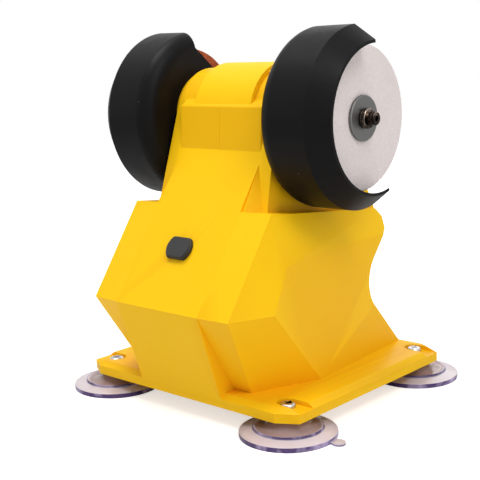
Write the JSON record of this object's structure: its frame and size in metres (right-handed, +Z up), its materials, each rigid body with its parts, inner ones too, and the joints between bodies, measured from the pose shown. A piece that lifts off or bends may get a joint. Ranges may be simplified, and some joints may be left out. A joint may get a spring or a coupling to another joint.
{
  "type": "wet grinding sharpener",
  "caption": "Yellow two-wheel bench sharpener with a white and a brown stone, black splash guards, a speed knob and suction feet.",
  "frame": {"origin": "on the ground plane at the middle of the part's footprint; Z = 0 is the rim of the suction cups", "axes": "+Z up; +X along the wheel shaft towards the brown wheel; -Y is the front where the user stands, +Y the sloped back with the power socket"},
  "size_m": [0.1914, 0.1682, 0.2],
  "materials": {
    "yellow_plastic": "satin",
    "black_plastic": "satin",
    "bright_steel": "satin",
    "dark_steel": "satin",
    "washer_steel": "brushed",
    "cup_rubber": "gloss",
    "black_rubber": "matte",
    "white_stone": "matte",
    "brown_stone": "matte",
    "bronze": "satin",
    "copper": "satin",
    "core_steel": "matte",
    "magnet": "matte",
    "carbon": "matte",
    "brown_board": "matte",
    "green_board": "satin"
  },
  "bodies": {
    "body": {"left_housing": "yellow_plastic", "right_housing": "yellow_plastic", "bottom_cover": "black_plastic", "housing_screws": "bright_steel", "cover_screws": "bright_steel", "left_guard": "black_plastic", "right_guard": "black_plastic", "guard_screws": "bright_steel", "front_left_cup": "cup_rubber", "front_right_cup": "cup_rubber", "back_left_cup": "cup_rubber", "back_right_cup": "cup_rubber", "cup_screws": "bright_steel", "left_shaft_seal": "black_rubber", "right_shaft_seal": "black_rubber", "motor_can": "bright_steel", "motor_magnets": "magnet", "left_motor_cap": "bright_steel", "right_motor_cap": "bright_steel", "left_bush": "bronze", "right_bush": "bronze", "carbon_brushes": "carbon", "brush_card": "brown_board", "potentiometer": "black_plastic", "potentiometer_nut": "bright_steel", "power_socket": "black_plastic", "control_board": "green_board", "board_parts": "black_plastic", "board_screws": "bright_steel"},
    "rotor": {"motor_shaft": "bright_steel", "armature": "core_steel", "armature_windings": "copper", "commutator": "copper", "left_arbor": "bright_steel", "right_arbor": "bright_steel", "arbor_set_screws": "dark_steel", "left_wheel": "white_stone", "right_wheel": "brown_stone", "left_washer": "washer_steel", "right_washer": "washer_steel", "left_collar": "dark_steel", "right_collar": "dark_steel", "left_cap_screw": "dark_steel", "right_cap_screw": "dark_steel"},
    "knob": {"speed_knob": "black_plastic", "potentiometer_shaft": "bright_steel"},
    "plug": {"socket_plug": "black_rubber"}
  },
  "joints": [
    {"name": "wheel_spin", "type": "hinge", "parent": "body", "child": "rotor", "pos_m": [0, 0.0005, 0.1532], "axis": [1, 0, 0], "continuous": true},
    {"name": "speed_dial", "type": "hinge", "parent": "body", "child": "knob", "pos_m": [0, -0.0449, 0.117], "axis": [0, -0.91, 0.4147], "range_deg": [-290, 0]},
    {"name": "plug_pull", "type": "slide", "parent": "body", "child": "plug", "axis": [0, 0.8139, 0.5809], "range_m": [0, 0.01]}
  ]
}
